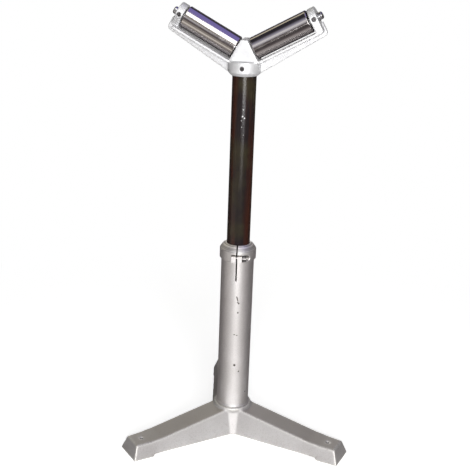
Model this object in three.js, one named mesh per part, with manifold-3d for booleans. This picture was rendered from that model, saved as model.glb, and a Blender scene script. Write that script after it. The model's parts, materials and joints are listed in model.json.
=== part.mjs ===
// Roller stand with a V head: a cast three-legged base, a split column that clamps a sliding mast,
// and a cast yoke with two rollers that turn on ball bearings.
// Millimetres, +Z up, the front towards -Y, the origin on the floor under the middle of the outline.
import * as THREE from "three";
import { ConvexGeometry } from "three/addons/geometries/ConvexGeometry.js";
import { mergeVertices } from "three/addons/utils/BufferGeometryUtils.js";
import Module from "manifold-3d";

const wasm = await Module();
wasm.setup();

// Clearances
const seatGap = 0.3; // between pieces that seat on each other
const slideGap = 0.3; // around the mast in the column's bore
const runGap = 0.3; // around the balls in their races

// Base casting
const footReach = 260; // column axis to the bottom edge of a toe
const toeWidth = 64; // across the bottom of a toe
const legRootWidth = 95; // across the bottom of a leg, run on to the column axis
const legRootHeight = 61; // top of a leg, run on to the column axis
const footHeight = 30;
const footLength = 57; // toe to the bend between foot and leg
const footRunOut = 26; // length of the blend at that bend
const padLength = 47;
const padStep = 4.6; // underside of the legs above the floor
const legDraft = 19.8; // degrees, on the flanks and toes
const castWall = 7; // wall over the hollow under each leg
const hubHeight = 56;
const hubApothem = 36; // column axis to the flat between two legs, at the hub's top
const hubDraft = 19.2; // degrees, on those flats
const hubFloor = 9.4; // web that the column stands on
const drainDiameter = 24;
const lipWidth = 6.5; // rim around the column's foot
const lipHeight = 6;
const lipChamfer = 2.5;
const lipSlope = 9; // height of the slope under the rim
const boltSetBack = 34; // bottom edge of a toe to the bolt hole in its foot
const boltDiameter = 7;

// Column and its clamp
const columnWall = 9.9;
const columnLength = 420;
const columnTurn = -7; // degrees, the slit's place from the front
const beadWidth = 2.8; // flare on the column, over the rim of its socket
const beadHeight = 4.5;
const beadEdge = 1.2;
const bandProud = 3.7; // clamp band outside the column
const bandHeight = 19.5;
const bandRunOut = 3; // slope under the band
const shoulderHeight = 12.5;
const shoulderBendIn = 5.2; // band to the bend in the shoulder
const shoulderBendRise = 7.8;
const rimWidth = 1.2; // flat rim around the mouth of the bore
const slitWidth = 3;
const slitLength = 76;
const earWidth = 9.5; // each side of the slit
const earHeight = 13;
const earLift = 1; // above the bottom of the band
const earRoot = 3; // wall between the ears' back and the bore
const earRelief = 1.6; // groove above and below the ears
const reliefDepth = 4.4;
const earCover = 9.5; // clamp screw axis to the ears' front
const screwWall = 5.5; // between the bore and the clamp screw's hole
const clampDiameter = 8;
const clampHeadDiameter = 13;
const clampHeadHeight = 8;
const clampSocket = 6; // across the flats
const clampSocketDepth = 4;
const clampTipGap = 1; // screw tip inside the far ear
const pocketGap = 1; // around the screw's head

// Mast
const mastDiameter = 48;
const mastWall = 4;
const mastInsert = 70; // inside the column as shown
const mastExposed = 349; // column top to head collar as shown

// Head casting
const headTurn = -14.5; // degrees, the V's turn from the base
const collarWall = 8.7;
const collarChamfer = 7;
const socketDepth = 24;
const vertexRise = 44; // collar bottom to where the roller axes meet
const armAngle = 28.5; // degrees, roller axis from level
const headDepth = 44;
const trayGap = 2.5; // under the rollers
const trayThickness = 6;
const lugThickness = 15;
const lugCorner = 6;
const bossTop = 21; // top of the centre boss above the roller axes
const ribThickness = 10;
const ribRise = 6.6; // collar bottom to the rib's root
const ribDrop = 8; // rib below the tray at the outer end
const ribProud = 4; // rib outside the lug
const ribCorner = 10; // from the rib's corner to where its round starts
const ribTop = 12; // rib's upper end below the axle

// Rollers, axles and bearings
const rollerInset = 20.5; // along the axis from where the axes meet
const rollerLength = 118;
const rollerWall = 4.7; // over the bearings
const rollerShoulder = 1.5; // step that stops a bearing
const rollerEdge = 1.5;
const innerGap = 1.5; // roller end to the centre boss
const outerGap = 2.5; // roller end to the lug
const axleDiameter = 15;
const axleSeat = 11; // depth in the centre boss
const axleProud = 9; // outside the lug
const axleChamfer = 2;
const bearingDiameter = 35;
const bearingWidth = 11;
const bearingSetBack = 2; // inside the roller's end
const ballDiameter = 5.9;
const ballCount = 8;
const raceShoulder = 2; // pitch circle to a ring's shoulder
const raceFloor = 2.8; // flat at the bottom of a groove
const cageWidth = 2;
const cageThickness = 2;
const spacerDiameter = 20;

// Set screws
const setScrewDiameter = 8;
const setScrewSink = 1; // screw end inside the face
const setScrewSocket = 4; // across the flats
const setScrewSocketDepth = 4;

// Roundness of the turned pieces
const columnSides = 48;
const rollerSides = 40;
const bearingSides = 24;
const screwSides = 16;
const lugSides = 8;
const ribSteps = 5;

// Worked out from the sizes above
const overcut = 1;
const weld = 1e-4;
const hexSides = 6;
const legAngles = [90, 210, 330];
const radians = THREE.MathUtils.degToRad;
const legLean = Math.tan(radians(legDraft));
const mastRadius = mastDiameter / 2;
const boreRadius = mastRadius + slideGap;
const columnRadius = boreRadius + columnWall;
const bandRadius = columnRadius + bandProud;
const columnFoot = padStep + hubFloor + seatGap;
const columnTop = columnFoot + columnLength;
const collarRadius = mastRadius + seatGap + collarWall;
const headFoot = columnTop + mastExposed;
const axleRadius = axleDiameter / 2;
const bearingRadius = bearingDiameter / 2;
const rollerRadius = bearingRadius + seatGap + rollerWall;
const bossFace = rollerInset - innerGap;
const lugInner = rollerInset + rollerLength + outerGap;
const lugOuter = lugInner + lugThickness;
const lugMiddle = lugInner + lugThickness / 2;
const trayTop = -(rollerRadius + trayGap);
const trayBottom = trayTop - trayThickness;
const armSlope = radians(armAngle);
const setScrewRadius = setScrewDiameter / 2;

// A closed geometry as a solid, and a solid as a geometry
function solid(geometry) {
  const bare = geometry.index ? geometry.toNonIndexed() : geometry.clone();
  bare.deleteAttribute("normal");
  bare.deleteAttribute("uv");
  const merged = mergeVertices(bare, weld);
  const vertProperties = merged.attributes.position.array;
  const triVerts = new Uint32Array(merged.index.array);
  return new wasm.Manifold(new wasm.Mesh({ numProp: 3, vertProperties, triVerts }));
}

function geometryOf(shape) {
  const mesh = shape.getMesh();
  const geometry = new THREE.BufferGeometry();
  geometry.setAttribute("position", new THREE.BufferAttribute(mesh.vertProperties, 3));
  geometry.setIndex(new THREE.BufferAttribute(mesh.triVerts, 1));
  const faceted = geometry.toNonIndexed();
  faceted.computeVertexNormals();
  return faceted;
}

const joined = (shapes) => shapes.reduce((all, shape) => all.add(shape));

// Turned about Z: [radius, height] points run anticlockwise, from the axis or round a closed ring
function turned(points, sides) {
  const ring = points[0][0] > 0 ? [...points, points[0]] : points;
  const profile = ring.map(([radius, height]) => new THREE.Vector2(radius, height));
  return new THREE.LatheGeometry(profile, sides).rotateX(Math.PI / 2);
}

// A round bar about Z from one height to another
function bar(radius, low, high, sides) {
  return turned([[0, low], [radius, low], [radius, high], [0, high]], sides);
}

function hexBar(width, low, high) {
  const corner = width / 2 / Math.cos(Math.PI / hexSides);
  return bar(corner, low, high, hexSides);
}

const alongX = (geometry) => geometry.rotateY(Math.PI / 2);
const alongFront = (geometry) => geometry.rotateX(Math.PI / 2);

function box(lowX, highX, lowY, highY, lowZ, highZ) {
  const geometry = new THREE.BoxGeometry(highX - lowX, highY - lowY, highZ - lowZ);
  return geometry.translate((lowX + highX) / 2, (lowY + highY) / 2, (lowZ + highZ) / 2);
}

// An outline in X and Z, given a depth along Y about the middle
function plate(shape, depth) {
  const geometry = new THREE.ExtrudeGeometry(shape, { depth, bevelEnabled: false, curveSegments: lugSides });
  return geometry.rotateX(Math.PI / 2).translate(0, depth / 2, 0);
}

function setScrew(radius, length) {
  const socket = hexBar(setScrewSocket, length - setScrewSocketDepth, length + overcut);
  return geometryOf(solid(bar(radius, 0, length, screwSides)).subtract(solid(socket)));
}

// Base casting: legs with drafted flanks, hollow underneath, around a hub with a socket
const legTaper = (legRootWidth - toeWidth) / 2 / footReach;
const legBend = footReach - footLength;
const legFall = (legRootHeight - footHeight) / legBend;
const legTop = (reach) => legRootHeight - legFall * reach;
const padStart = footReach - padLength;

function legSection(reach, low, high, inset = 0) {
  const half = (height) => toeWidth / 2 + (footReach - reach) * legTaper - height * legLean - inset;
  return [low, high].flatMap((height) => [
    new THREE.Vector3(reach, half(height), height),
    new THREE.Vector3(reach, -half(height), height),
  ]);
}

function toeSection(low, high) {
  const bottom = legSection(footReach - low * legLean, low, low);
  const top = legSection(footReach - high * legLean, high, high);
  return [...bottom, ...top];
}

const hull = (...sections) => solid(new ConvexGeometry(sections.flat()));

function legSolid() {
  const bendIn = legBend - footRunOut / 2;
  const bendOut = legBend + footRunOut / 2;
  return joined([
    hull(legSection(0, padStep, legRootHeight), legSection(legBend, padStep, footHeight)),
    hull(legSection(bendIn, padStep, legTop(bendIn)), legSection(bendOut, padStep, footHeight)),
    hull(legSection(legBend, padStep, footHeight), toeSection(padStep, footHeight)),
    hull(legSection(padStart, 0, padStep + overcut), toeSection(0, padStep + overcut)),
  ]);
}

function legHollow() {
  const start = columnRadius + seatGap + 2 * castWall;
  const end = padStart - castWall;
  const section = (reach) => {
    const ceiling = Math.max(footHeight, legTop(reach)) - castWall;
    return legSection(reach, 0, ceiling, castWall / Math.cos(radians(legDraft)));
  };
  return hull(section(start), section(legBend - footRunOut), section(end));
}

function hubSolid() {
  const wide = hubApothem + (hubHeight - padStep) * Math.tan(radians(hubDraft));
  const corner = (apothem) => apothem / Math.cos(Math.PI / hexSides);
  const profile = [[0, padStep], [corner(wide), padStep], [corner(hubApothem), hubHeight], [0, hubHeight]];
  return solid(turned(profile, hexSides).rotateZ(Math.PI / hexSides));
}

function lipSolid() {
  const outer = columnRadius + seatGap + lipWidth;
  const top = hubHeight + lipHeight;
  return solid(turned([
    [0, hubHeight - lipSlope],
    [columnRadius, hubHeight - lipSlope],
    [outer, hubHeight - overcut],
    [outer, top - lipChamfer],
    [outer - lipChamfer, top],
    [0, top],
  ], columnSides));
}

function baseCasting() {
  const legs = legAngles.map((angle) => solid(geometryOf(legSolid()).rotateZ(radians(angle))));
  const hollows = legAngles.map((angle) => solid(geometryOf(legHollow()).rotateZ(radians(angle))));
  const bolts = legAngles.map((angle) => {
    const hole = bar(boltDiameter / 2, -overcut, footHeight + overcut, screwSides);
    return solid(hole.translate(footReach - boltSetBack, 0, 0).rotateZ(radians(angle)));
  });
  const top = hubHeight + lipHeight + overcut;
  const socket = solid(bar(columnRadius + seatGap, padStep + hubFloor, top, columnSides));
  const drain = solid(bar(drainDiameter / 2, 0, hubHeight, screwSides));
  const cuts = joined([...hollows, ...bolts, socket, drain]);
  return geometryOf(joined([...legs, hubSolid(), lipSolid()]).subtract(cuts));
}

// Column: a bored casting with a clamp band, a slit at the front and a grooved ear on each side of it
const beadFoot = hubHeight + lipHeight + seatGap - columnFoot;
const bandTop = columnLength - shoulderHeight;
const bandBottom = bandTop - bandHeight;
const earBottom = bandBottom + earLift;
const screwHeight = earBottom + earHeight / 2;
const clampRadius = clampDiameter / 2;
const screwOffset = boreRadius + screwWall + clampRadius + seatGap;
const earFace = slitWidth / 2 + earWidth;

function outerColumn() {
  const body = solid(turned([
    [boreRadius, 0],
    [columnRadius, 0],
    [columnRadius, beadFoot],
    [columnRadius + beadWidth, beadFoot],
    [columnRadius + beadWidth, beadFoot + beadEdge],
    [columnRadius, beadFoot + beadHeight],
    [columnRadius, bandBottom - bandRunOut],
    [bandRadius, bandBottom],
    [bandRadius, bandTop],
    [bandRadius - shoulderBendIn, bandTop + shoulderBendRise],
    [boreRadius + rimWidth, columnLength],
    [boreRadius, columnLength],
  ], columnSides));
  const earFront = -(screwOffset + earCover);
  const earBack = -(boreRadius + earRoot);
  const ears = solid(box(-earFace, earFace, earFront, earBack, earBottom, earBottom + earHeight));
  const slitLow = columnLength - slitLength;
  const slitFront = Math.min(earFront, -bandRadius) - overcut;
  const reliefLow = earBottom - earRelief;
  const reliefHigh = earBottom + earHeight + earRelief;
  const relief = solid(box(-earFace, earFace, slitFront, reliefDepth - bandRadius, reliefLow, reliefHigh));
  const slitCut = box(-slitWidth / 2, slitWidth / 2, slitFront, 0, slitLow, columnLength + overcut);
  const place = (geometry) => solid(alongX(geometry).translate(0, -screwOffset, screwHeight));
  const screwHole = place(bar(clampRadius + seatGap, -earFace - overcut, bandRadius + overcut, screwSides));
  const pocketRadius = clampHeadDiameter / 2 + pocketGap;
  const pocket = place(bar(pocketRadius, earFace, bandRadius + overcut, bearingSides));
  const cuts = joined([solid(slitCut), screwHole, pocket]);
  return geometryOf(body.subtract(relief).add(ears).subtract(cuts));
}

function clampScrew() {
  const headFace = earFace + seatGap;
  const headEnd = headFace + clampHeadHeight;
  const shank = solid(bar(clampRadius, clampTipGap - earFace, headFace + overcut, screwSides));
  const head = solid(bar(clampHeadDiameter / 2, headFace, headEnd, bearingSides));
  const socket = solid(hexBar(clampSocket, headEnd - clampSocketDepth, headEnd + overcut));
  return alongX(geometryOf(shank.add(head).subtract(socket)));
}

// Mast: a plain tube
const mastFoot = columnTop - mastInsert;
const mastLength = mastInsert + mastExposed + socketDepth - seatGap;
const mastBore = mastRadius - mastWall;

function mastTube() {
  const profile = [[mastBore, 0], [mastRadius, 0], [mastRadius, mastLength], [mastBore, mastLength]];
  return turned(profile, columnSides);
}

// Head casting: trays under the rollers, a lug at each outer end, a centre boss, a collar and a rib
function armPoint(along, across, side = 1) {
  const x = along * Math.cos(armSlope) - across * Math.sin(armSlope);
  const z = vertexRise + along * Math.sin(armSlope) + across * Math.cos(armSlope);
  return new THREE.Vector2(side * x, z);
}

const flipped = (points) => points.map((point) => new THREE.Vector2(-point.x, point.y)).reverse();
const trayRoot = (collarRadius + trayBottom * Math.sin(armSlope)) / Math.cos(armSlope);
const trayMiddle = trayTop - trayThickness / 2;

function traySolid() {
  const half = [
    armPoint(bossFace, bossTop),
    armPoint(bossFace, trayTop),
    armPoint(lugMiddle, trayTop),
    armPoint(lugMiddle, trayBottom),
    armPoint(trayRoot, trayBottom),
  ];
  return solid(plate(new THREE.Shape([...half, ...flipped(half)]), headDepth));
}

function ribSolid() {
  const ribSide = lugOuter + ribProud;
  const ribBottom = trayBottom - ribDrop;
  const corner = new THREE.QuadraticBezierCurve(
    armPoint(ribSide, ribBottom + ribCorner),
    armPoint(ribSide, ribBottom),
    armPoint(ribSide - ribCorner, ribBottom),
  );
  const half = [
    armPoint(trayRoot, trayMiddle),
    armPoint(lugMiddle, trayMiddle),
    armPoint(lugMiddle, -ribTop),
    armPoint(lugOuter + ribProud, -ribTop),
    ...corner.getPoints(ribSteps),
    new THREE.Vector2(collarRadius, ribRise),
  ];
  return solid(plate(new THREE.Shape([...half, ...flipped(half)]), ribThickness));
}

// From a frame along the roller axis, with X outwards, to the head's frame
function armMatrix(side) {
  const turn = new THREE.Matrix4().makeRotationZ(side > 0 ? 0 : Math.PI);
  const tilt = new THREE.Matrix4().makeRotationY(-armSlope);
  const rise = new THREE.Matrix4().makeTranslation(0, 0, vertexRise);
  return rise.multiply(turn).multiply(tilt);
}

function lugSolid(side) {
  const half = headDepth / 2;
  const outline = new THREE.Shape();
  outline.moveTo(lugInner, trayBottom);
  outline.lineTo(lugOuter - lugCorner, trayBottom);
  outline.absarc(lugOuter - lugCorner, trayBottom + lugCorner, lugCorner, -Math.PI / 2, 0, false);
  outline.lineTo(lugOuter, half);
  outline.lineTo(lugInner, half);
  const arch = new THREE.Shape();
  arch.moveTo(half, 2 * trayBottom);
  arch.absarc(0, 0, half, 0, Math.PI, false);
  arch.lineTo(-half, 2 * trayBottom);
  const archPlate = plate(arch, 4 * lugOuter).rotateZ(Math.PI / 2);
  const lug = solid(plate(outline, headDepth)).intersect(solid(archPlate));
  return solid(geometryOf(lug).applyMatrix4(armMatrix(side)));
}

function collarSolid() {
  const top = armPoint(trayRoot, trayMiddle).y;
  const foot = collarRadius - collarChamfer;
  const profile = [[0, 0], [foot, 0], [collarRadius, collarChamfer], [collarRadius, top], [0, top]];
  return solid(turned(profile, columnSides));
}

const collarScrewHeight = (collarChamfer + armPoint(trayRoot, trayBottom).y) / 2;

function headCasting() {
  const body = joined([traySolid(), ribSolid(), collarSolid(), lugSolid(1), lugSolid(-1)]);
  const socket = solid(bar(mastRadius + seatGap, -overcut, socketDepth, columnSides));
  const screwHole = alongFront(bar(setScrewRadius + seatGap, 0, collarRadius + overcut, screwSides));
  const cuts = [socket, solid(screwHole.translate(0, 0, collarScrewHeight))];
  for (const side of [1, -1]) {
    const axleHole = alongX(bar(axleRadius + seatGap, axleStart - seatGap, lugOuter + overcut, bearingSides));
    cuts.push(solid(axleHole.applyMatrix4(armMatrix(side))));
    const lugScrew = alongFront(bar(setScrewRadius + seatGap, 0, headDepth, screwSides));
    const lugPoint = armPoint(lugMiddle, 0, side);
    cuts.push(solid(lugScrew.translate(lugPoint.x, 0, lugPoint.y)));
  }
  return geometryOf(body.subtract(joined(cuts)));
}

// Roller, axle, spacers and bearings, on an axis along X
const axleStart = bossFace - axleSeat;
const axleEnd = lugOuter + axleProud;
const bearingBore = axleRadius + seatGap;
const pitchRadius = (bearingBore + bearingRadius) / 2;
const ballRadius = ballDiameter / 2;
const bearingPlaces = {
  inner: rollerInset + bearingSetBack,
  outer: rollerInset + rollerLength - bearingSetBack - bearingWidth,
};

function axle() {
  const thin = axleRadius - axleChamfer;
  return alongX(turned([
    [0, axleStart],
    [thin, axleStart],
    [axleRadius, axleStart + axleChamfer],
    [axleRadius, axleEnd - axleChamfer],
    [thin, axleEnd],
    [0, axleEnd],
  ], bearingSides));
}

function rollerShell() {
  const low = rollerInset;
  const high = rollerInset + rollerLength;
  const seat = bearingRadius + seatGap;
  const bore = seat - rollerShoulder;
  const depth = bearingSetBack + bearingWidth + seatGap;
  return alongX(turned([
    [seat, low],
    [rollerRadius - rollerEdge, low],
    [rollerRadius, low + rollerEdge],
    [rollerRadius, high - rollerEdge],
    [rollerRadius - rollerEdge, high],
    [seat, high],
    [seat, high - depth],
    [bore, high - depth],
    [bore, low + depth],
    [seat, low + depth],
  ], rollerSides));
}

// The groove in a ring, on the side of the balls: direction is 1 outside the pitch circle, -1 inside
function bearingRing(backRadius, direction, low) {
  const high = low + bearingWidth;
  const middle = (low + high) / 2;
  const shoulder = pitchRadius + direction * raceShoulder;
  const floor = pitchRadius + direction * (ballRadius + runGap);
  const mouth = Math.sqrt((ballRadius + runGap) ** 2 - raceShoulder ** 2);
  const groove = [
    [shoulder, low],
    [shoulder, middle - mouth],
    [floor, middle - raceFloor / 2],
    [floor, middle + raceFloor / 2],
    [shoulder, middle + mouth],
    [shoulder, high],
  ];
  const back = [[backRadius, high], [backRadius, low]];
  const ring = [...groove, ...back];
  return alongX(turned(direction > 0 ? ring.reverse() : ring, bearingSides));
}

function ballCage(low) {
  const middle = low + bearingWidth / 2;
  const [inside, outside] = [pitchRadius - cageThickness / 2, pitchRadius + cageThickness / 2];
  const [under, over] = [middle - cageWidth / 2, middle + cageWidth / 2];
  const ring = turned([[inside, under], [outside, under], [outside, over], [inside, over]], bearingSides);
  const balls = Array.from({ length: ballCount }, (_, index) => {
    const turn = (index * 2 * Math.PI) / ballCount;
    const ball = new THREE.OctahedronGeometry(ballRadius, 1);
    return solid(ball.translate(pitchRadius, 0, middle).rotateZ(turn));
  });
  return alongX(geometryOf(joined([solid(ring), ...balls])));
}

function spacer(low, high) {
  const hole = axleRadius + seatGap;
  const rim = spacerDiameter / 2;
  return alongX(turned([[hole, low], [rim, low], [rim, high], [hole, high]], screwSides));
}

// Finishes
const finishes = {
  greyPaint: { color: 0xa9a6a4, roughness: 0.45, metalness: 0.3 },
  blackSteel: { color: 0x241f1e, roughness: 0.18, metalness: 0.9 },
  castAluminium: { color: 0xe4e5e8, roughness: 0.42, metalness: 0.6 },
  polishedSteel: { color: 0xb4b2b6, roughness: 0.1, metalness: 1 },
  bearingSteel: { color: 0xc4c5c8, roughness: 0.2, metalness: 1 },
  zincSteel: { color: 0xc2c3c4, roughness: 0.35, metalness: 0.9 },
  darkScrew: { color: 0x4a4748, roughness: 0.4, metalness: 0.8 },
};

function piece(parent, name, geometry, finish) {
  const mesh = new THREE.Mesh(geometry, new THREE.MeshStandardMaterial(finishes[finish]));
  mesh.name = name;
  parent.add(mesh);
  return mesh;
}

function frameGroup(parent, height, turn) {
  const group = new THREE.Group();
  group.position.z = height;
  group.rotation.z = radians(turn);
  parent.add(group);
  return group;
}

// The front toes' corners and the rear toe set the outline's middle, which the origin stands under
const frontReach = footReach * Math.sin(Math.PI / 6) + (toeWidth / 2) * Math.cos(Math.PI / 6);
const stand = new THREE.Group();
stand.name = "roller_stand";
const axis = frameGroup(stand, 0, 0);
axis.position.y = (frontReach - footReach) / 2;

piece(axis, "base_casting", baseCasting(), "greyPaint");

const column = frameGroup(axis, columnFoot, columnTurn);
piece(column, "outer_column", outerColumn(), "greyPaint");
piece(column, "clamp_screw", clampScrew(), "darkScrew").position.set(0, -screwOffset, screwHeight);

const mast = frameGroup(axis, mastFoot, 0);
piece(mast, "mast_tube", mastTube(), "blackSteel");

const head = frameGroup(axis, headFoot, headTurn);
piece(head, "head_casting", headCasting(), "castAluminium");
const collarScrewTip = mastRadius + seatGap;
const collarScrewLength = collarRadius - setScrewSink - collarScrewTip;
const collarScrew = alongFront(setScrew(setScrewRadius, collarScrewLength));
piece(head, "head_set_screw", collarScrew, "darkScrew").position.set(0, -collarScrewTip, collarScrewHeight);

for (const [name, side] of Object.entries({ right: 1, left: -1 })) {
  const arm = new THREE.Group();
  arm.applyMatrix4(armMatrix(side));
  head.add(arm);
  piece(arm, `${name}_roller`, rollerShell(), "polishedSteel");
  piece(arm, `${name}_axle`, axle(), "bearingSteel");
  for (const [end, low] of Object.entries(bearingPlaces)) {
    piece(arm, `${name}_${end}_bearing_outer_ring`, bearingRing(bearingRadius, 1, low), "bearingSteel");
    piece(arm, `${name}_${end}_bearing_inner_ring`, bearingRing(bearingBore, -1, low), "bearingSteel");
    piece(arm, `${name}_${end}_ball_cage`, ballCage(low), "bearingSteel");
  }
  const bossSide = spacer(bossFace + seatGap, bearingPlaces.inner - seatGap);
  piece(arm, `${name}_inner_spacer`, bossSide, "zincSteel");
  const lugSide = spacer(bearingPlaces.outer + bearingWidth + seatGap, lugInner - seatGap);
  piece(arm, `${name}_outer_spacer`, lugSide, "zincSteel");
  const lugScrewTip = axleRadius + seatGap;
  const lugScrewLength = headDepth / 2 - setScrewSink - lugScrewTip;
  const lugPoint = armPoint(lugMiddle, 0, side);
  const lugScrew = alongFront(setScrew(setScrewRadius, lugScrewLength));
  piece(head, `${name}_lug_set_screw`, lugScrew, "darkScrew").position.set(lugPoint.x, -lugScrewTip, lugPoint.y);
}

export default stand;
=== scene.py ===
import json
import math

import bmesh
import bpy
from mathutils import Matrix, Vector


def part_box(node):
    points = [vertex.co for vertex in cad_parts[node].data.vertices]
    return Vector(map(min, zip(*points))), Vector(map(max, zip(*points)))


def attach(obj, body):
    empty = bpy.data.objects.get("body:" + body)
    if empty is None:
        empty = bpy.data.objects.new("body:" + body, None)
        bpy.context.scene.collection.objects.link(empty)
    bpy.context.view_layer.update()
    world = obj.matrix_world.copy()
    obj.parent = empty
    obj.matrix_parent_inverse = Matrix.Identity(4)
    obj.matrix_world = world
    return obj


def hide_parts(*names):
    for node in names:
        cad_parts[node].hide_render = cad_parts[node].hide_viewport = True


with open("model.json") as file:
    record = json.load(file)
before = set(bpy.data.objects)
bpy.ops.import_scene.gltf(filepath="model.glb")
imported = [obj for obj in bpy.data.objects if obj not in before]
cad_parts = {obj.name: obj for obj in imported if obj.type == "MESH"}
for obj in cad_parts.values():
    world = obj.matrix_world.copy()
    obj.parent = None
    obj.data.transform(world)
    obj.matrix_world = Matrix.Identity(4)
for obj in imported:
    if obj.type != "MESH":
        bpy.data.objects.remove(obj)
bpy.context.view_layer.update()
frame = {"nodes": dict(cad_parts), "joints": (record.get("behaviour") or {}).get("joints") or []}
nodes = frame["nodes"]
joints = {joint["name"]: joint for joint in frame["joints"]}
mm = 0.001
sides = ("left", "right")
ends = ("inner", "outer")
print("frame loaded:", len(nodes), "solids")


# camera, at the photograph's angle
shot = {"lens": 67.45, "sensor": 36, "shift": (0.1596, -0.0638), "place": (-0.1211, -1.7829, 1.0737),
        "pan": -1.43, "tilt": 17.97, "roll": 0.49}
pan, tilt, roll = (math.radians(shot[turn]) for turn in ("pan", "tilt", "roll"))
ahead = Vector((math.sin(pan) * math.cos(tilt), math.cos(pan) * math.cos(tilt), -math.sin(tilt)))
level = Vector((math.cos(pan), -math.sin(pan), 0))
upright = level.cross(ahead)
across = math.cos(roll) * level + math.sin(roll) * upright
above = math.cos(roll) * upright - math.sin(roll) * level
camera = bpy.data.objects.new("camera", bpy.data.cameras.new("camera"))
camera.data.lens = shot["lens"]
camera.data.sensor_width = shot["sensor"]
camera.data.shift_x, camera.data.shift_y = shot["shift"]
camera.matrix_world = Matrix((across, above, -ahead)).transposed().to_4x4()
camera.location = shot["place"]
bpy.context.scene.collection.objects.link(camera)
bpy.context.scene.camera = camera
bpy.context.scene.view_settings.view_transform = "Standard"
print("camera set")


def hexColour(code):
    parts = [int(code[i:i + 2], 16) / 255 for i in (1, 3, 5)]
    return [p / 12.92 if p <= 0.04045 else ((p + 0.055) / 1.055) ** 2.4 for p in parts] + [1]


def setInputs(tree, node, inputs):
    for name, value in inputs.items():
        if isinstance(value, bpy.types.NodeSocket):
            tree.links.new(value, node.inputs[name])
        else:
            node.inputs[name].default_value = value


def addNode(tree, kind, inputs=None, **settings):
    node = tree.nodes.new("ShaderNode" + kind)
    for name, value in settings.items():
        setattr(node, name, value)
    setInputs(tree, node, inputs or {})
    return node


def newMaterial(name):
    material = bpy.data.materials.new(name)
    material.use_nodes = True
    tree = material.node_tree
    return material, tree, tree.nodes["Principled BSDF"]


# texture scale for a pattern that repeats about every size millimetres
def perMm(size):
    return 1 / (size * mm)


def setStops(ramp, stops):
    elements = ramp.color_ramp.elements
    while len(elements) < len(stops):
        elements.new(1.0)
    for element, (at, code) in zip(elements, stops):
        element.position = at
        element.color = hexColour(code)


columnPlace = {"x": 0.0, "y": joints["head_swivel"]["pos_m"][1], "radius": 34.2 * mm}
mastRadius = 24 * mm

# clamp band at the column's top: heights of its foot and of its shoulder's foot, and the radius of its outside
clampBand = {"foot": 402.3 * mm, "shoulder": 421.8 * mm, "skin": 37.2 * mm, "fade": 0.4 * mm}

# paint chips on the column: turn from the front (degrees), height, width, length (mm), lean (degrees)
columnChips = (
    (-1.6, 163.9, 3.0, 3.2, 0),
    (14.6, 148.4, 1.7, 2.2, 20),
    (0.4, 318.5, 1.5, 8.0, -16),
    (5.6, 308.5, 2.0, 2.4, -30),
    (1.6, 311.0, 1.4, 1.8, 0),
    (4.0, 287.0, 1.8, 2.6, 0),
    (-6.0, 236.0, 2.4, 1.3, 0),
    (3.0, 234.5, 2.0, 1.2, 10),
    (47.0, 95.0, 1.4, 2.0, 0),
    (128.0, 260.0, 1.6, 6.0, 24),
    (205.0, 140.0, 1.9, 2.6, 0),
)

# bright nicks in the mast's finish, placed in its gleam and painted light grey as glints, given the same way
mastNickGlints = (
    (-6.0, 705.5, 1.3, 2.2, 24),
    (4.0, 702.0, 1.0, 1.5, -30),
    (-12.0, 697.0, 0.9, 1.2, 0),
    (-3.0, 719.0, 0.7, 1.5, 0),
    (-9.0, 684.0, 0.7, 0.9, 0),
    (1.0, 668.0, 0.6, 0.8, 0),
)


# distance to the nearest chip on a round piece about the column's axis, 1 at a chip's edge
def nearestChip(tree, place, chips, radius):
    nearest = None
    for turn, z, width, length, lean in chips:
        a = math.radians(turn)
        spot = (columnPlace["x"] + radius * math.sin(a), columnPlace["y"] - radius * math.cos(a), z * mm)
        local = addNode(tree, "Mapping", {"Vector": place, "Location": spot,
                                          "Rotation": (0, math.radians(lean), a),
                                          "Scale": (width * mm, width * mm, length * mm)},
                        vector_type="TEXTURE").outputs[0]
        reach = addNode(tree, "VectorMath", {0: local}, operation="LENGTH").outputs["Value"]
        if nearest is None:
            nearest = reach
        else:
            nearest = addNode(tree, "Math", {0: nearest, 1: reach}, operation="MINIMUM").outputs[0]
    return nearest
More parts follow.
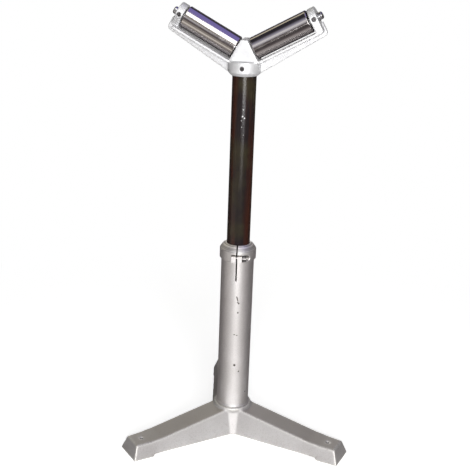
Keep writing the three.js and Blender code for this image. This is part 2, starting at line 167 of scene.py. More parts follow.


# aluminium-flake enamel sprayed on sand-cast iron: a satin silver with a pebbled skin, rubbed on its edges, with a
# painted highlight on the base's edges, painted shade on what faces up and in the clamp's recesses, and painted
# bands on the shoulder's rings; its flakes are drawn coarser than real ones, to show
def silverEnamel(name, pale, deep, flakeShine, rough, chips=(), clamp=None):
    look = {"cloudMm": 70, "cloudSpan": {"From Min": 0.35, "From Max": 0.65},
            "flakeMm": 0.9, "flakeSpan": {"From Min": 0.3, "From Max": 0.7},
            "flakeShade": {"To Min": 0.9, "To Max": 1.1},
            "grainMm": 2.6, "grainDepthMm": 0.3, "grainBump": 0.22, "gloss": 0.35,
            "grime": "#8d857f", "hollows": {"From Min": 0.5, "From Max": 0.3},
            "lowDown": {"From Min": 0.0, "From Max": 0.05, "To Min": 0.4, "To Max": 0.06},
            "dustAndTopShade": "#a49a86", "facingUp": {"From Min": 0.75, "From Max": 0.95, "To Max": 0.36},
            "rubbedEdgeAndHighlight": "#d9d7d3", "rubPatch": {"From Min": 0.3, "From Max": 0.5}, "rubRough": -0.04,
            "primer": "#5d5753", "chipRagged": 0.9, "chipEdge": {"From Min": 1.45, "From Max": 1.15},
            "recessShadeShare": 0.8, "ringMm": 2.4, "ringDepth": 1.5,
            "ringShade": {"From Min": 0.35, "From Max": 0.65, "To Min": 0.55, "To Max": 1.3}}
    material, tree, shader = newMaterial(name)
    place = addNode(tree, "TexCoord").outputs["Object"]
    height = addNode(tree, "SeparateXYZ", {0: place}).outputs["Z"]
    cloud = addNode(tree, "TexNoise", {"Vector": place, "Scale": perMm(look["cloudMm"]), "Detail": 3}).outputs["Fac"]
    grain = addNode(tree, "TexNoise", {"Vector": place, "Scale": perMm(look["grainMm"]), "Detail": 3}).outputs["Fac"]
    flake = addNode(tree, "TexNoise", {"Vector": place, "Scale": perMm(look["flakeMm"]), "Detail": 1}).outputs["Fac"]
    cloudShare = addNode(tree, "MapRange", {"Value": cloud, **look["cloudSpan"]}).outputs[0]
    colour = addNode(tree, "Mix", {0: cloudShare, 6: hexColour(pale), 7: hexColour(deep)},
                     data_type="RGBA").outputs[2]
    flakeShade = addNode(tree, "MapRange", {"Value": flake, **look["flakeSpan"], **look["flakeShade"]}).outputs[0]
    colour = addNode(tree, "Mix", {0: 1.0, 6: colour, 7: flakeShade},
                     data_type="RGBA", blend_type="MULTIPLY").outputs[2]
    # dirt lies in the hollows of the casting skin and gathers low down
    lowDown = addNode(tree, "MapRange", {"Value": height, **look["lowDown"]}).outputs[0]
    hollow = addNode(tree, "MapRange", {"Value": grain, **look["hollows"]}).outputs[0]
    grimeShare = addNode(tree, "Math", {0: lowDown, 1: hollow}, operation="MULTIPLY").outputs[0]
    colour = addNode(tree, "Mix", {0: grimeShare, 6: colour, 7: hexColour(look["grime"])},
                     data_type="RGBA").outputs[2]
    # workshop dust lies on what faces up, and painted shade with it: what faces up is painted darker and warmer than
    # the sides
    facing = addNode(tree, "SeparateXYZ", {0: addNode(tree, "TexCoord").outputs["Normal"]}).outputs["Z"]
    dustAndTopShadeShare = addNode(tree, "MapRange", {"Value": facing, **look["facingUp"]}).outputs[0]
    colour = addNode(tree, "Mix", {0: dustAndTopShadeShare, 6: colour, 7: hexColour(look["dustAndTopShade"])},
                     data_type="RGBA").outputs[2]
    # edges that hands and floors have rubbed; on the base their colour is lighter than the paint, a painted
    # highlight along the rounded edges
    edge = addNode(tree, "Attribute", attribute_name="edge").outputs["Fac"]
    patch = addNode(tree, "MapRange", {"Value": grain, **look["rubPatch"]}).outputs[0]
    rubShare = addNode(tree, "Math", {0: edge, 1: patch}, operation="MULTIPLY").outputs[0]
    colour = addNode(tree, "Mix", {0: rubShare, 6: colour, 7: hexColour(look["rubbedEdgeAndHighlight"])},
                     data_type="RGBA").outputs[2]
    flakeRough = addNode(tree, "MapRange", {"Value": flake, **look["flakeSpan"],
                                            "To Min": rough[0], "To Max": rough[1]}).outputs[0]
    roughness = addNode(tree, "Math", {0: rubShare, 1: look["rubRough"], 2: flakeRough},
                        operation="MULTIPLY_ADD").outputs[0]
    skin = grain
    if clamp:
        # painted shade, as dark as the primer, in the slit, the grooves round the ears and the screw's pocket
        flat = addNode(tree, "Mapping", {"Vector": place, "Scale": (1, 1, 0),
                                         "Location": (-columnPlace["x"], -columnPlace["y"], 0)}).outputs[0]
        axisReach = addNode(tree, "VectorMath", {0: flat}, operation="LENGTH").outputs["Value"]
        recessShadeShare = addNode(tree, "MapRange", {"Value": axisReach, "From Min": clamp["skin"],
                                                 "From Max": clamp["skin"] - clamp["fade"],
                                                 "To Max": look["recessShadeShare"]}).outputs[0]
        for edgeHeight, way in ((clamp["foot"], 1), (clamp["shoulder"], -1)):
            within = addNode(tree, "MapRange", {"Value": height, "From Min": edgeHeight,
                                                "From Max": edgeHeight + way * clamp["fade"]}).outputs[0]
            recessShadeShare = addNode(tree, "Math", {0: recessShadeShare, 1: within}, operation="MULTIPLY").outputs[0]
        colour = addNode(tree, "Mix", {0: recessShadeShare, 6: colour, 7: hexColour(look["primer"])},
                         data_type="RGBA").outputs[2]
        # rings that the lathe left on the shoulder show through the paint as bumps; their bright and dark bands in
        # the colour are painted highlight and shade
        ringPlace = addNode(tree, "Math", {0: height, 1: perMm(look["ringMm"])}, operation="MULTIPLY").outputs[0]
        ring = addNode(tree, "TexNoise", {"W": ringPlace, "Scale": 1, "Detail": 2},
                       noise_dimensions="1D").outputs["Fac"]
        turned = addNode(tree, "MapRange", {"Value": height, "From Min": clamp["shoulder"],
                                            "From Max": clamp["shoulder"] + clamp["fade"]}).outputs[0]
        ringShade = addNode(tree, "MapRange", {"Value": ring, **look["ringShade"]}).outputs[0]
        colour = addNode(tree, "Mix", {0: turned, 6: colour, 7: ringShade},
                         data_type="RGBA", blend_type="MULTIPLY").outputs[2]
        ringSkin = addNode(tree, "Math", {0: ring, 1: turned}, operation="MULTIPLY").outputs[0]
        skin = addNode(tree, "Math", {0: ringSkin, 1: look["ringDepth"], 2: skin},
                       operation="MULTIPLY_ADD").outputs[0]
    if chips:
        nearest = nearestChip(tree, place, chips, columnPlace["radius"])
        ragged = addNode(tree, "Math", {0: flake, 1: look["chipRagged"], 2: nearest},
                         operation="MULTIPLY_ADD").outputs[0]
        chipShare = addNode(tree, "MapRange", {"Value": ragged, **look["chipEdge"]}).outputs[0]
        colour = addNode(tree, "Mix", {0: chipShare, 6: colour, 7: hexColour(look["primer"])},
                         data_type="RGBA").outputs[2]
        skin = addNode(tree, "Math", {0: skin, 1: chipShare}, operation="SUBTRACT").outputs[0]
    bump = addNode(tree, "Bump", {"Height": skin, "Strength": look["grainBump"],
                                  "Distance": look["grainDepthMm"] * mm}).outputs[0]
    setInputs(tree, shader, {"Base Color": colour, "Metallic": flakeShine, "Roughness": roughness,
                             "Specular IOR Level": look["gloss"], "Normal": bump})
    return material


# lacquered aluminium casting: bright and close-grained, its edges polished by handling
def brightCasting():
    look = {"pale": "#dededf", "deep": "#d4d4d6", "cloudMm": 34, "cloudSpan": {"From Min": 0.4, "From Max": 0.65},
            "oil": "#aeabaa", "pores": {"From Min": 0.4, "From Max": 0.28, "To Max": 0.08},
            "rough": {"From Min": 0.3, "From Max": 0.7, "To Min": 0.5, "To Max": 0.62}, "edgeRough": -0.1,
            "grainMm": 1.6, "grainDepthMm": 0.16, "grainBump": 0.05, "metal": 0.42}
    material, tree, shader = newMaterial("lacqueredCastAluminium")
    place = addNode(tree, "TexCoord").outputs["Object"]
    cloud = addNode(tree, "TexNoise", {"Vector": place, "Scale": perMm(look["cloudMm"]), "Detail": 4}).outputs["Fac"]
    grain = addNode(tree, "TexNoise", {"Vector": place, "Scale": perMm(look["grainMm"]), "Detail": 2}).outputs["Fac"]
    cloudShare = addNode(tree, "MapRange", {"Value": cloud, **look["cloudSpan"]}).outputs[0]
    lacquer = addNode(tree, "Mix", {0: cloudShare, 6: hexColour(look["pale"]), 7: hexColour(look["deep"])},
                      data_type="RGBA").outputs[2]
    poreShare = addNode(tree, "MapRange", {"Value": grain, **look["pores"]}).outputs[0]
    colour = addNode(tree, "Mix", {0: poreShare, 6: lacquer, 7: hexColour(look["oil"])},
                     data_type="RGBA").outputs[2]
    edge = addNode(tree, "Attribute", attribute_name="edge").outputs["Fac"]
    cloudRough = addNode(tree, "MapRange", {"Value": cloud, **look["rough"]}).outputs[0]
    roughness = addNode(tree, "Math", {0: edge, 1: look["edgeRough"], 2: cloudRough},
                        operation="MULTIPLY_ADD").outputs[0]
    bump = addNode(tree, "Bump", {"Height": grain, "Strength": look["grainBump"],
                                  "Distance": look["grainDepthMm"] * mm}).outputs[0]
    setInputs(tree, shader, {"Base Color": colour, "Metallic": look["metal"], "Roughness": roughness,
                             "Normal": bump})
    return material


# oil-blackened steel tube, polished: near black, with brown and olive streaks of oil along it, a painted brown
# reflection down its right side, small dents in its gloss and a few nicks down to bright steel, painted light grey
# as glints; its polishing scores are drawn coarser than real ones, to show
def darkTube():
    look = {"black": "#241e1f", "brown": "#3a2018", "olive": "#363122", "bare": "#d6d4d4",
            "streakMm": 14, "streakLengthMm": 300, "brownSpan": {"From Min": 0.45, "From Max": 0.65},
            "stainMm": 60, "oliveSpan": {"From Min": 0.45, "From Max": 0.7}, "stainRough": 0.1,
            "reflectionSide": {"From Min": 6 * mm, "From Max": 14 * mm, "To Max": 0.14},
            "reflectionLow": {"From Min": 700 * mm, "From Max": 480 * mm},
            "scoreMm": 1.4, "scoreLengthMm": 120,
            "scoreRough": {"From Min": 0.55, "From Max": 0.75, "To Min": 0.14, "To Max": 0.26},
            "nickRagged": 0.8, "nickEdge": {"From Min": 1.5, "From Max": 1.1},
            "dentMm": 3, "dentDepthMm": 0.25, "dentBump": 1.0, "metal": 0.06, "gloss": 0.32}
    material, tree, shader = newMaterial("oilBlackenedSteel")
    place = addNode(tree, "TexCoord").outputs["Object"]
    along = addNode(tree, "Mapping", {"Vector": place, "Scale": (1, 1, look["scoreMm"] / look["scoreLengthMm"])})
    score = addNode(tree, "TexNoise", {"Vector": along.outputs[0], "Scale": perMm(look["scoreMm"]),
                                       "Detail": 2}).outputs["Fac"]
    along = addNode(tree, "Mapping", {"Vector": place, "Scale": (1, 1, look["streakMm"] / look["streakLengthMm"])})
    streak = addNode(tree, "TexNoise", {"Vector": along.outputs[0], "Scale": perMm(look["streakMm"]),
                                        "Detail": 3}).outputs["Fac"]
    stain = addNode(tree, "TexNoise", {"Vector": place, "Scale": perMm(look["stainMm"]), "Detail": 4}).outputs["Fac"]
    dent = addNode(tree, "TexNoise", {"Vector": place, "Scale": perMm(look["dentMm"]), "Detail": 3}).outputs["Fac"]
    # painted reflection: a warm brown reflection painted down the mast's right side, stronger lower down
    spot = addNode(tree, "SeparateXYZ", {0: place})
    reflectionSide = addNode(tree, "MapRange", {"Value": spot.outputs["X"], **look["reflectionSide"]}).outputs[0]
    reflectionLow = addNode(tree, "MapRange", {"Value": spot.outputs["Z"], **look["reflectionLow"]}).outputs[0]
    brownReflection = addNode(tree, "Math", {0: reflectionSide, 1: reflectionLow}, operation="MULTIPLY").outputs[0]
    browned = addNode(tree, "Math", {0: streak, 1: brownReflection}, operation="ADD").outputs[0]
    brownShare = addNode(tree, "MapRange", {"Value": browned, **look["brownSpan"]}).outputs[0]
    colour = addNode(tree, "Mix", {0: brownShare, 6: hexColour(look["black"]), 7: hexColour(look["brown"])},
                     data_type="RGBA").outputs[2]
    stained = addNode(tree, "Math", {0: stain, 1: brownReflection}, operation="SUBTRACT").outputs[0]
    oliveShare = addNode(tree, "MapRange", {"Value": stained, **look["oliveSpan"]}).outputs[0]
    colour = addNode(tree, "Mix", {0: oliveShare, 6: colour, 7: hexColour(look["olive"])},
                     data_type="RGBA").outputs[2]
    # nicks down to bare steel, painted light grey as glints
    nearest = nearestChip(tree, place, mastNickGlints, mastRadius)
    ragged = addNode(tree, "Math", {0: score, 1: look["nickRagged"], 2: nearest},
                     operation="MULTIPLY_ADD").outputs[0]
    nickGlintShare = addNode(tree, "MapRange", {"Value": ragged, **look["nickEdge"]}).outputs[0]
    colour = addNode(tree, "Mix", {0: nickGlintShare, 6: colour, 7: hexColour(look["bare"])},
                     data_type="RGBA").outputs[2]
    scoreRough = addNode(tree, "MapRange", {"Value": score, **look["scoreRough"]}).outputs[0]
    roughness = addNode(tree, "Math", {0: stain, 1: look["stainRough"], 2: scoreRough},
                        operation="MULTIPLY_ADD").outputs[0]
    bump = addNode(tree, "Bump", {"Height": dent, "Strength": look["dentBump"],
                                  "Distance": look["dentDepthMm"] * mm}).outputs[0]
    setInputs(tree, shader, {"Base Color": colour, "Metallic": look["metal"], "Roughness": roughness,
                             "Specular IOR Level": look["gloss"], "Normal": bump})
    return material


# turned steel, chromed, ground or plated: mirror bands, with rings round it and a few dull rubs;
# its rings are drawn coarser than real ones, to show
def polishedSteel(name, base, edgeTint, rough, ringMm):
    look = {"ringShade": {"From Min": 0.3, "From Max": 0.7, "To Min": 0.94, "To Max": 1.05},
            "ringRough": 0.03, "ringBump": 0.04, "ringDepthMm": 0.03,
            "rubMm": 16, "rubSpan": {"From Min": 0.42, "From Max": 0.68}}
    material, tree, shader = newMaterial(name)
    place = addNode(tree, "TexCoord").outputs["Object"]
    along = addNode(tree, "Attribute", attribute_name="along").outputs["Fac"]
    ringPlace = addNode(tree, "Math", {0: along, 1: perMm(ringMm)}, operation="MULTIPLY").outputs[0]
    ring = addNode(tree, "TexNoise", {"W": ringPlace, "Scale": 1, "Detail": 3}, noise_dimensions="1D").outputs["Fac"]
    rub = addNode(tree, "TexNoise", {"Vector": place, "Scale": perMm(look["rubMm"]), "Detail": 5}).outputs["Fac"]
    rubShare = addNode(tree, "MapRange", {"Value": rub, **look["rubSpan"]}).outputs[0]
    ringShade = addNode(tree, "MapRange", {"Value": ring, **look["ringShade"]}).outputs[0]
    colour = addNode(tree, "Mix", {0: 1.0, 6: hexColour(base), 7: ringShade},
                     data_type="RGBA", blend_type="MULTIPLY").outputs[2]
    rubRough = addNode(tree, "MapRange", {"Value": rubShare, "To Min": rough[0], "To Max": rough[1]}).outputs[0]
    roughness = addNode(tree, "Math", {0: ring, 1: look["ringRough"], 2: rubRough},
                        operation="MULTIPLY_ADD").outputs[0]
    bump = addNode(tree, "Bump", {"Height": ring, "Strength": look["ringBump"],
                                  "Distance": look["ringDepthMm"] * mm}).outputs[0]
    setInputs(tree, shader, {"Base Color": colour, "Metallic": 1.0, "Roughness": roughness,
                             "Specular Tint": hexColour(edgeTint), "Normal": bump})
    return material


# oiled black oxide on a steel screw: dark with an oily gleam, grey where the key has rubbed it;
# its specks are drawn coarser than real ones, to show
def blackOxide(name, black, grey, rough):
    look = {"rubMm": 3, "rubSpan": {"From Min": 0.42, "From Max": 0.66, "To Max": 0.5}, "edgeWear": 0.4,
            "speckMm": 0.8, "speckSpan": {"From Min": 0.3, "From Max": 0.7}, "speckDepthMm": 0.05,
            "speckBump": 0.15, "metal": 0.8}
    material, tree, shader = newMaterial(name)
    place = addNode(tree, "TexCoord").outputs["Object"]
    rub = addNode(tree, "TexNoise", {"Vector": place, "Scale": perMm(look["rubMm"]), "Detail": 4}).outputs["Fac"]
    speck = addNode(tree, "TexNoise", {"Vector": place, "Scale": perMm(look["speckMm"]), "Detail": 2}).outputs["Fac"]
    edge = addNode(tree, "Attribute", attribute_name="edge").outputs["Fac"]
    rubShare = addNode(tree, "MapRange", {"Value": rub, **look["rubSpan"]}).outputs[0]
    worn = addNode(tree, "Math", {0: edge, 1: look["edgeWear"], 2: rubShare}, operation="MULTIPLY_ADD",
                   use_clamp=True).outputs[0]
    colour = addNode(tree, "Mix", {0: worn, 6: hexColour(black), 7: hexColour(grey)}, data_type="RGBA").outputs[2]
    roughness = addNode(tree, "MapRange", {"Value": speck, **look["speckSpan"],
                                           "To Min": rough[0], "To Max": rough[1]}).outputs[0]
    bump = addNode(tree, "Bump", {"Height": speck, "Strength": look["speckBump"],
                                  "Distance": look["speckDepthMm"] * mm}).outputs[0]
    setInputs(tree, shader, {"Base Color": colour, "Metallic": look["metal"], "Roughness": roughness,
                             "Normal": bump})
    return material


finishes = {
    "base": silverEnamel("silverEnamelOnIron", "#c6c4c3", "#bbb8b7", flakeShine=0.7, rough=(0.56, 0.66)),
    # the column has the base's paint, given paler here as painted light
    "column": silverEnamel("chippedSilverEnamelPaintedPaler", "#e6e3e2", "#dcd9d7", flakeShine=0.92, rough=(0.45, 0.53),
                           chips=columnChips, clamp=clampBand),
    "head": brightCasting(),
    "mast": darkTube(),
    "roller": polishedSteel("hardChromedSteel", "#c6c1c0", "#4a4960", rough=(0.09, 0.15), ringMm=1.3),
    "axle": polishedSteel("groundBarSteel", "#b9b9bb", "#8c8c90", rough=(0.2, 0.32), ringMm=0.8),
    "bearing": polishedSteel("bearingSteel", "#c0c1c4", "#909094", rough=(0.14, 0.24), ringMm=0.9),
    "spacer": polishedSteel("zincPlatedSteel", "#b9babb", "#8b8c8e", rough=(0.3, 0.44), ringMm=1.1),
    "screw": blackOxide("blackOxideSteel", "#454243", "#6a6767", rough=(0.34, 0.5)),
    "clampScrew": blackOxide("oiledBlackSteel", "#605d5e", "#86837f", rough=(0.16, 0.26)),
}
print("materials made:", len(finishes))


def newObject(bm, name):
    mesh = bpy.data.meshes.new(name)
    bm.to_mesh(mesh)
    bm.free()
    made = bpy.data.objects.new(name, mesh)
    bpy.context.scene.collection.objects.link(made)
    return made


# how copies of the solids are cleaned and eased, lengths in mm and angles in degrees
easing = {"weld": 0.01, "flatAngle": 0.6, "sliver": 0.2, "sharpAngle": 28, "bevelSteps": 3, "faceWeight": 100,
          "smoothing": 0.5}


def finishPiece(bm, name, body, finish, node):
    bmesh.ops.recalc_face_normals(bm, faces=bm.faces)
    piece = newObject(bm, name)
    piece.data.polygons.foreach_set("use_smooth", [True] * len(piece.data.polygons))
    piece.data.materials.append(finishes[finish])
    # large faces stay flat between their rounded corners
    flat = piece.modifiers.new("flatFaces", "WEIGHTED_NORMAL")
    flat.weight = easing["faceWeight"]
    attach(piece, body)
    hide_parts(node)


# a copy of a solid, its loose triangles merged into whole faces
def mergedCopy(node):
    bm = bmesh.new()
    bm.from_mesh(nodes[node].data)
    bmesh.ops.remove_doubles(bm, verts=bm.verts, dist=easing["weld"] * mm)
    bmesh.ops.dissolve_limit(bm, angle_limit=math.radians(easing["flatAngle"]), verts=bm.verts, edges=bm.edges)
    return bm


# a machined piece: the solid with its corners broken, and the broken corners marked for wear
def machinedCopy(node, width):
    bm = mergedCopy(node)
    bmesh.ops.dissolve_degenerate(bm, dist=easing["sliver"] * mm, edges=bm.edges)
    worn = bm.faces.layers.float.new("edge")
    sharp = math.radians(easing["sharpAngle"])
    corners = [e for e in bm.edges if e.is_manifold and e.calc_face_angle(0) > sharp]
    broken = bmesh.ops.bevel(bm, geom=corners, offset=width * mm, offset_type="OFFSET", affect="EDGES",
                             segments=easing["bevelSteps"], profile=0.5, material=-1, clamp_overlap=True,
                             loop_slide=True)
    for face in broken["faces"]:
        face[worn] = 1
    return bm


def smoothVerts(bm, verts, rounds):
    for i in range(rounds):
        bmesh.ops.smooth_vert(bm, verts=verts, factor=easing["smoothing"], use_axis_x=True, use_axis_y=True,
                              use_axis_z=True)


# a casting: the solid remeshed and eased, as a sand mould leaves its corners, with the ridges marked for wear and
# for a painted edge highlight;
# it is squared to the grid first, and what lies flat is smoothed further
def castCopy(node, cast):
    bm = mergedCopy(node)
    squared = Matrix.Rotation(-cast["turn"], 3, "Z")
    bmesh.ops.rotate(bm, cent=(0, 0, 0), matrix=squared, verts=bm.verts)
    mould = newObject(bm, "mould")
    remesh = mould.modifiers.new("remesh", "REMESH")
    remesh.mode = "VOXEL"
    remesh.voxel_size = cast["grid"] * mm
    bm = bmesh.new()
    bm.from_mesh(mould.evaluated_get(bpy.context.evaluated_depsgraph_get()).to_mesh())
    bpy.data.objects.remove(mould)
    smoothVerts(bm, bm.verts, cast["rounds"])
    bm.normal_update()
    ridge = bm.verts.layers.float.new("edge")
    flats = []
    for v in bm.verts:
        leans = [(e.other_vert(v).co - v.co).normalized().dot(v.normal) for e in v.link_edges]
        lean = sum(leans) / len(leans)
        v[ridge] = min(max(-lean / cast["ridgeLean"], 0), 1)
        if abs(lean) < cast["flatLean"]:
            flats.append(v)
    smoothVerts(bm, flats, cast["flatRounds"])
    bmesh.ops.rotate(bm, cent=(0, 0, 0), matrix=squared.transposed(), verts=bm.verts)
    print(node, "cast with", 2 * len(bm.faces), "triangles")
    return bm


# how outlines are rounded and spun, lengths in mm: points nearer the axis than onAxis keep their corner
turning = {"cornerSteps": 3, "onAxis": 0.1, "weld": 0.005}


# a turned piece: its outline of (radius, distance along the axis) in mm, with corners rounded, spun round the axis
def turnedPiece(outline, start, axis, closed, rounding, steps):
    bm = bmesh.new()
    along = bm.verts.layers.float.new("along")
    corners = [bm.verts.new((r * mm, 0, l * mm)) for r, l in outline]
    pairs = list(zip(corners, corners[1:] + corners[:1]))
    for a, b in pairs if closed else pairs[:-1]:
        bm.edges.new((a, b))
    rounded = [v for v in corners if v.co.x > turning["onAxis"] * mm]
    bmesh.ops.bevel(bm, geom=rounded, offset=rounding * mm, offset_type="OFFSET", affect="VERTICES",
                    segments=turning["cornerSteps"], profile=0.5, material=-1, clamp_overlap=True)
    bmesh.ops.spin(bm, geom=bm.verts[:] + bm.edges[:], cent=(0, 0, 0), axis=(0, 0, 1), angle=2 * math.pi,
                   steps=steps, use_merge=True)
    bmesh.ops.remove_doubles(bm, verts=bm.verts, dist=turning["weld"] * mm)
    for v in bm.verts:
        v[along] = v.co.z
    turn = Vector((0, 0, 1)).rotation_difference(Vector(axis)).to_matrix().to_4x4()
    bmesh.ops.transform(bm, matrix=Matrix.Translation(start) @ turn, verts=bm.verts)
    return bm


tripod = {"grid": 1.7, "turn": 0.0, "rounds": 5, "ridgeLean": 0.07, "flatLean": 0.0, "flatRounds": 0}
finishPiece(castCopy("base_casting", tripod), "tripodBase", "base", "base", "base_casting")

armAxis = joints["right_roller_spin"]["axis"]
yoke = {"grid": 1.0, "turn": math.atan2(armAxis[1], armAxis[0]), "rounds": 10, "ridgeLean": 0.12,
        "flatLean": 0.05, "flatRounds": 24}
finishPiece(castCopy("head_casting", yoke), "vYoke", "head", "head", "head_casting")

column = {"round": 0.6}
finishPiece(machinedCopy("outer_column", column["round"]), "clampColumn", "base", "column",
            "outer_column")
print("castings eased")

screws = {
    "clamp_screw": {"name": "clampScrew", "body": "clamp_screw", "finish": "clampScrew", "round": 0.4},
    "head_set_screw": {"name": "collarScrew", "body": "head", "finish": "screw", "round": 0.25},
    "left_lug_set_screw": {"name": "leftLugScrew", "body": "head", "finish": "screw", "round": 0.25},
    "right_lug_set_screw": {"name": "rightLugScrew", "body": "head", "finish": "screw", "round": 0.25},
}
for node, screw in screws.items():
    finishPiece(machinedCopy(node, screw["round"]), screw["name"], screw["body"], screw["finish"],
                node)
print("screws rounded")

mast = {"radius": mastRadius / mm, "wall": 4, "round": 0.8, "steps": 96}
mastLow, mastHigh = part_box("mast_tube")
mastLength = (mastHigh.z - mastLow.z) / mm
bore = mast["radius"] - mast["wall"]
tube = [(bore, 0), (mast["radius"], 0), (mast["radius"], mastLength), (bore, mastLength)]
mastStart = Vector((columnPlace["x"], columnPlace["y"], mastLow.z))
finishPiece(turnedPiece(tube, mastStart, (0, 0, 1), True, mast["round"], mast["steps"]), "mast", "mast", "mast",
            "mast_tube")
print("mast turned")

roller = {"start": 20.5, "end": 138.5, "radius": 22.5, "edge": 1.5, "seat": 17.8, "bore": 16.3, "seatDepth": 13.3,
          "round": 0.5, "steps": 128}
axle = {"start": 8, "end": 165, "radius": 7.5, "chamfer": 2, "round": 0.5, "steps": 96}
for side in sides:
    spin = joints[side + "_roller_spin"]
    start, axis = Vector(spin["pos_m"]), Vector(spin["axis"])
    low, high, rim = roller["start"], roller["end"], roller["radius"] - roller["edge"]
    shell = [(roller["seat"], low), (rim, low), (roller["radius"], low + roller["edge"]),
             (roller["radius"], high - roller["edge"]), (rim, high), (roller["seat"], high),
             (roller["seat"], high - roller["seatDepth"]), (roller["bore"], high - roller["seatDepth"]),
             (roller["bore"], low + roller["seatDepth"]), (roller["seat"], low + roller["seatDepth"])]
    finishPiece(turnedPiece(shell, start, axis, True, roller["round"], roller["steps"]), side + "Roller",
                side + "_roller", "roller", side + "_roller")
    low, high, tip = axle["start"], axle["end"], axle["radius"] - axle["chamfer"]
    bar = [(0, low), (tip, low), (axle["radius"], low + axle["chamfer"]),
           (axle["radius"], high - axle["chamfer"]), (tip, high), (0, high)]
    finishPiece(turnedPiece(bar, start, axis, False, axle["round"], axle["steps"]), side + "Axle", "head", "axle",
                side + "_axle")
print("rollers and axles turned")

hiddenFinishes = {"bearing_outer_ring": "bearing", "bearing_inner_ring": "bearing", "ball_cage": "bearing",
                  "spacer": "spacer"}
for side in sides:
    for end in ends:
        for part, finish in hiddenFinishes.items():
            solid = nodes["_".join((side, end, part))]
            solid.data.materials.clear()
            solid.data.materials.append(finishes[finish])
print("bearings and spacers finished")


# rays that look at the stage: the camera's own, and those that metal and glass send on
def lookingRays(tree):
    path = addNode(tree, "LightPath")
    looking = path.outputs["Is Camera Ray"]
    for ray in ("Is Glossy Ray", "Is Transmission Ray"):
        looking = addNode(tree, "Math", {0: looking, 1: path.outputs[ray]}, operation="MAXIMUM").outputs[0]
    return looking


# floor: matt white paper, brightened to white for what looks at it, so that only the stand's shadow shows
studio = {"floorSize": 14, "paper": "#e9e9e9", "paperGlow": 0.73, "white": 1.0, "shadowReach": 0.55,
          "whiteFrom": 1.1}
bm = bmesh.new()
bmesh.ops.create_grid(bm, x_segments=1, y_segments=1, size=studio["floorSize"] / 2)
floor = newObject(bm, "paperFloor")
paper, tree, shader = newMaterial("whitePaper")
tree.nodes.remove(shader)
looking = lookingRays(tree)
glowLevel = addNode(tree, "Math", {0: looking, 1: studio["paperGlow"]}, operation="MULTIPLY").outputs[0]
matt = addNode(tree, "BsdfDiffuse", {"Color": hexColour(studio["paper"])}).outputs[0]
glow = addNode(tree, "Emission", {"Strength": glowLevel}).outputs[0]
lit = addNode(tree, "AddShader", {0: matt, 1: glow}).outputs[0]
plain = addNode(tree, "Emission", {"Strength": studio["white"]}).outputs[0]
spot = addNode(tree, "TexCoord").outputs["Object"]
reach = addNode(tree, "VectorMath", {0: spot}, operation="LENGTH").outputs["Value"]
farShare = addNode(tree, "MapRange", {"Value": reach, "From Min": studio["shadowReach"],
                                      "From Max": studio["whiteFrom"]}, interpolation_type="SMOOTHSTEP").outputs[0]
plainShare = addNode(tree, "Math", {0: farShare, 1: looking}, operation="MULTIPLY").outputs[0]
sheet = addNode(tree, "MixShader", {0: plainShare, 1: lit, 2: plain}).outputs[0]
setInputs(tree, tree.nodes["Material Output"], {"Surface": sheet})
floor.data.materials.append(paper)
print("floor laid")

# flag: a toned card on the floor with a rim, which only metal sees: it gives bright metal its dark edges and
# soft streaks; its hole, round the feet, is smaller behind
flag = {"inside": 0.2, "squeeze": 0.45, "outside": 3.6, "lift": 0.002, "top": 0.95, "screenTop": 1.9,
        "screenFrom": 3.38, "wingFrom": 2.6, "sides": 48,
        "dark": "#4a4445", "frontFade": (-0.12, -0.32), "leftFade": (-0.6, -0.9), "leftBack": (0.1, -0.15),
        "frontTones": ((0.05, "#f4f1ef"), (0.1, "#e0dcda"), (0.14, "#bab5b4"), (0.2, "#b2adac"),
                       (0.25, "#787172"), (0.36, "#554f50"), (0.56, "#474243"), (0.95, "#474243"),
                       (1.0, "#5e5758")),
        "leftTones": ((0.19, "#a39e9f"), (0.28, "#a8a29a"), (0.345, "#fffaf0"), (0.4, "#fffaf0"),
                      (0.47, "#aaa49c"), (0.85, "#a19b94"), (1.0, "#6a6363"))}
bm = bmesh.new()
bmesh.ops.create_circle(bm, cap_ends=False, segments=flag["sides"], radius=flag["inside"])
rim = bm.edges[:]
behind = [v for v in bm.verts if v.co.y > 0]
for grow, lift in ((flag["outside"] / flag["inside"], 0), (1, flag["top"])):
    grown = bmesh.ops.extrude_edge_only(bm, edges=rim)["geom"]
    moved = [g for g in grown if isinstance(g, bmesh.types.BMVert)]
    bmesh.ops.scale(bm, vec=(grow, grow, 1), verts=moved)
    bmesh.ops.translate(bm, vec=(0, 0, lift), verts=moved)
    rim = [g for g in grown if isinstance(g, bmesh.types.BMEdge) and all(v in moved for v in g.verts)]
screen = [v for v in moved if abs(v.co.y) > flag["screenFrom"] or abs(v.co.x) > flag["wingFrom"]]
bmesh.ops.translate(bm, vec=(0, 0, flag["screenTop"] - flag["top"]), verts=screen)
bmesh.ops.scale(bm, vec=(flag["squeeze"], flag["squeeze"], 1), verts=behind)
bmesh.ops.translate(bm, vec=(0, columnPlace["y"], flag["lift"]), verts=bm.verts)
card = newObject(bm, "flagCard")
card.visible_camera = card.visible_diffuse = card.visible_shadow = False
flagPaper, tree, shader = newMaterial("flagPaper")
tree.nodes.remove(shader)
spot = addNode(tree, "TexCoord").outputs["Object"]
spotParts = addNode(tree, "SeparateXYZ", {0: spot})
flat = addNode(tree, "Mapping", {"Vector": spot, "Scale": (1, 1, 0)}).outputs[0]
away = addNode(tree, "VectorMath", {0: flat}, operation="LENGTH").outputs["Value"]
awayShare = addNode(tree, "Math", {0: away, 1: flag["outside"]}, operation="DIVIDE").outputs[0]
frontTones = addNode(tree, "ValToRGB", {"Fac": awayShare})
setStops(frontTones, flag["frontTones"])
leftTones = addNode(tree, "ValToRGB", {"Fac": awayShare})
setStops(leftTones, flag["leftTones"])
fades = {}
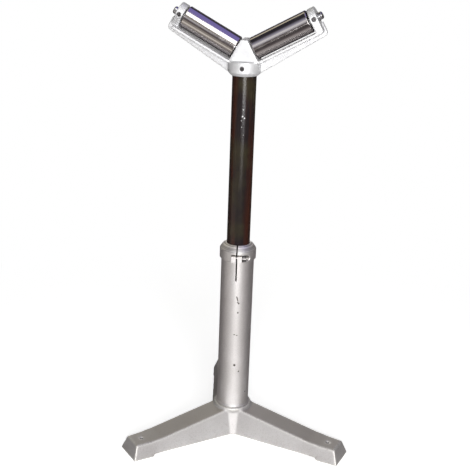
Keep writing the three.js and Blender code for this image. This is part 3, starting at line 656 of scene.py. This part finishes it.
for fade, way in (("frontFade", "Y"), ("leftFade", "X"), ("leftBack", "Y")):
    fadeFrom, fadeTo = flag[fade]
    fades[fade] = addNode(tree, "MapRange", {"Value": spotParts.outputs[way], "From Min": fadeFrom,
                                             "From Max": fadeTo}).outputs[0]
leftShare = addNode(tree, "Math", {0: fades["leftFade"], 1: fades["leftBack"]}, operation="MULTIPLY").outputs[0]
frontTone = addNode(tree, "Mix", {0: fades["frontFade"], 6: hexColour(flag["dark"]),
                                  7: frontTones.outputs["Color"]}, data_type="RGBA").outputs[2]
cardTone = addNode(tree, "Mix", {0: leftShare, 6: frontTone, 7: leftTones.outputs["Color"]},
                   data_type="RGBA").outputs[2]
tone = addNode(tree, "Emission", {"Color": cardTone}).outputs[0]
setInputs(tree, tree.nodes["Material Output"], {"Surface": tone})
card.data.materials.append(flagPaper)
print("flag card set")

# world: white to the camera and an even fill to the rest, but metal sees a toned ceiling, with a violet
# skylight on the right, a window on the left and a pale rafter behind on the left;
# each patch has tones by height and zones along the axes, faded in from the first bound to the second
room = {"backdrop": "#ffffff", "backdropLevel": 1.0, "fill": 0.14, "horizon": "#f2f2f0", "zenith": "#868480",
        "zenithFrom": 0.9,
        "ceiling": ((0.0, "#ffffff"), (0.06, "#d8d7da"), (0.24, "#b9b7b4"), (0.33, "#9c988e"), (0.45, "#8f8b82"),
                    (0.6, "#7b7874"), (0.7, "#3a3840"), (0.8, "#33313a"), (0.9, "#a8a498"), (0.96, "#dedbd2"))}
patches = {
    "skylight": {"tones": ((0, "#9389d1"), (1, "#9389d1")), "zones": (("X", 0.12, 0.2), ("Z", 0.79, 0.84))},
    "window": {"tones": ((0.1, "#c4c3cc"), (0.25, "#ffffff"), (0.31, "#ffffff"), (0.42, "#c6c5d2"),
                         (0.54, "#9c9bac"), (0.64, "#706f7c"), (0.7, "#47454c")),
               "zones": (("X", -0.3, -0.45), ("Y", -0.25, -0.4))},
    "rafter": {"tones": ((0, "#fbf3d8"), (1, "#fbf3d8")),
               "zones": (("X", -0.26, -0.32), ("Y", 0.4, 0.45), ("Y", 0.66, 0.61))},
}
world = bpy.data.worlds.new("studio")
world.use_nodes = True
bpy.context.scene.world = world
tree = world.node_tree
tree.nodes.clear()
heading = addNode(tree, "SeparateXYZ", {0: addNode(tree, "TexCoord").outputs["Generated"]})
rise = heading.outputs["Z"]
ceiling = addNode(tree, "ValToRGB", {"Fac": rise})
setStops(ceiling, room["ceiling"])
surroundings = ceiling.outputs["Color"]
for patch in patches.values():
    share = None
    for way, zoneFrom, zoneTo in patch["zones"]:
        within = addNode(tree, "MapRange", {"Value": heading.outputs[way], "From Min": zoneFrom,
                                            "From Max": zoneTo}).outputs[0]
        if share is None:
            share = within
        else:
            share = addNode(tree, "Math", {0: share, 1: within}, operation="MULTIPLY").outputs[0]
    tones = addNode(tree, "ValToRGB", {"Fac": rise})
    setStops(tones, patch["tones"])
    surroundings = addNode(tree, "Mix", {0: share, 6: surroundings, 7: tones.outputs["Color"]},
                           data_type="RGBA").outputs[2]
cameraRay = addNode(tree, "LightPath").outputs["Is Camera Ray"]
shown = addNode(tree, "Mix", {0: cameraRay, 6: surroundings, 7: hexColour(room["backdrop"])},
                data_type="RGBA").outputs[2]
backdrop = addNode(tree, "Background", {"Color": shown, "Strength": room["backdropLevel"]}).outputs[0]
riseShare = addNode(tree, "MapRange", {"Value": rise, "From Min": 0, "From Max": room["zenithFrom"]}).outputs[0]
fillColour = addNode(tree, "Mix", {0: riseShare, 6: hexColour(room["horizon"]), 7: hexColour(room["zenith"])},
                     data_type="RGBA").outputs[2]
fill = addNode(tree, "Background", {"Color": fillColour, "Strength": room["fill"]}).outputs[0]
around = addNode(tree, "MixShader", {0: lookingRays(tree), 1: fill, 2: backdrop}).outputs[0]
addNode(tree, "OutputWorld", {"Surface": around})

# lamps: soft boxes, with place and side in metres, aimed at the stand's middle
lamps = {
    "keyLamp": {"place": (0.04, -2.9, 0.83), "side": 1.3, "watts": 78},
    "windowLamp": {"place": (0.13, -1.55, 2.18), "side": 1.15, "watts": 11},
    "backLamp": {"place": (0.2, 3.2, 0.9), "side": 1.3, "watts": 23},
}
middleHeight = 0.46
aim = Vector((0, columnPlace["y"], middleHeight))
for name, box in lamps.items():
    lamp = bpy.data.objects.new(name, bpy.data.lights.new(name, "AREA"))
    lamp.data.size = box["side"]
    lamp.data.energy = box["watts"]
    lamp.location = box["place"]
    lamp.rotation_euler = (aim - Vector(box["place"])).to_track_quat("-Z", "Y").to_euler()
    bpy.context.scene.collection.objects.link(lamp)
print("studio lit")
